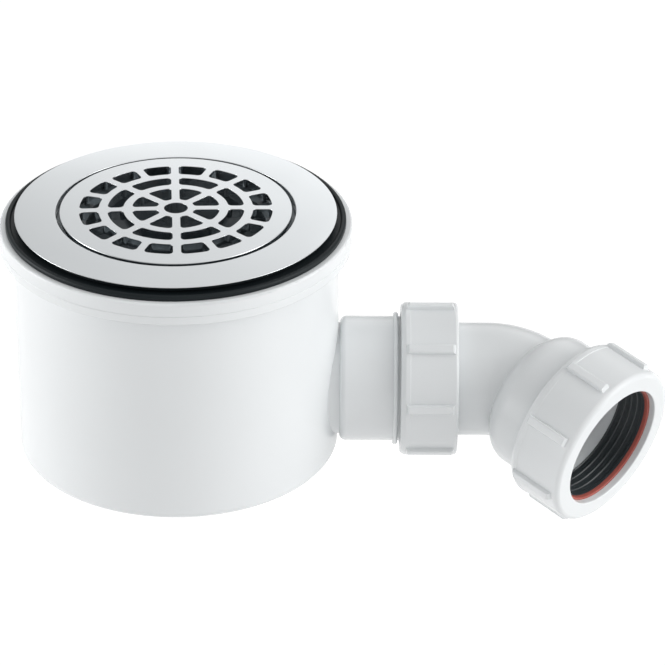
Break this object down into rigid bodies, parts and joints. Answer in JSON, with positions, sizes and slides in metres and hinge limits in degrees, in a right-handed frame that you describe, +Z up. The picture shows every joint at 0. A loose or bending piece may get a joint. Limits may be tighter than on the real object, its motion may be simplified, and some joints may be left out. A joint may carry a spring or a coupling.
{
  "type": "shower trap",
  "caption": "Bucket-shaped shower trap with a plated flange and domed grid, a lift-out water seal inside and a swivelling bend with a compression outlet for a waste pipe.",
  "frame": {"origin": "centre of the waste hole on the underside of the shower tray, which is the top of the tray seal", "axes": "+Z up, out of the tray; +X along the outlet spigot, away from the bucket"},
  "size_m": [0.234, 0.1226, 0.1058],
  "materials": {
    "white_plastic": "moulded, satin gloss",
    "plated_plastic": "bright plated",
    "dark_plastic": "moulded, matt",
    "black_rubber": "moulded rubber",
    "red_plastic": "moulded, matt"
  },
  "bodies": {
    "trap": {"trap_body": "white_plastic", "body_collar": "white_plastic", "tray_seal": "black_rubber", "seal_cup": "white_plastic"},
    "flange_washer": {"flange_washer": "black_rubber"},
    "flange": {"flange": "plated_plastic", "grid": "plated_plastic", "dip_tube": "dark_plastic", "dip_tube_o_ring": "black_rubber"},
    "union_ring": {"union_slip_ring": "white_plastic"},
    "union_nut": {"union_nut": "white_plastic"},
    "elbow": {"elbow": "white_plastic", "union_washer": "black_rubber", "outlet_seal": "black_rubber"},
    "outlet_ring": {"slip_washer": "red_plastic"},
    "outlet_nut": {"outlet_nut": "white_plastic"}
  },
  "joints": [
    {"name": "flange_lift", "type": "slide", "parent": "trap", "child": "flange_washer", "axis": [0, 0, 1], "range_m": [0, 0.015]},
    {"name": "flange_screw", "type": "hinge", "parent": "flange_washer", "child": "flange", "pos_m": [0, 0, 0], "axis": [0, 0, 1], "range_deg": [0, 1800.01]},
    {"name": "elbow_swivel", "type": "hinge", "parent": "trap", "child": "elbow", "pos_m": [0.0891, 0, -0.0641], "axis": [1, 0, 0], "continuous": true},
    {"name": "union_travel", "type": "slide", "parent": "trap", "child": "union_ring", "axis": [1, 0, 0], "range_m": [0, 0.00924]},
    {"name": "union_screw", "type": "hinge", "parent": "union_ring", "child": "union_nut", "pos_m": [0.0891, 0, -0.0641], "axis": [1, 0, 0], "range_deg": [0, 1440.01]},
    {"name": "outlet_travel", "type": "slide", "parent": "elbow", "child": "outlet_ring", "axis": [0.7314, -0.6525, -0.1983], "range_m": [0, 0.01385]},
    {"name": "outlet_screw", "type": "hinge", "parent": "outlet_ring", "child": "outlet_nut", "pos_m": [0.15134, -0.02966, -0.07311], "axis": [0.7314, -0.6525, -0.1983], "range_deg": [0, 2160.01]}
  ],
  "couplings": [
    {"joint": "flange_screw", "follows": "flange_lift", "rad_per_m": 2094.4},
    {"joint": "union_screw", "follows": "union_travel", "rad_per_m": 2721.2},
    {"joint": "outlet_screw", "follows": "outlet_travel", "rad_per_m": 2721.2}
  ]
}
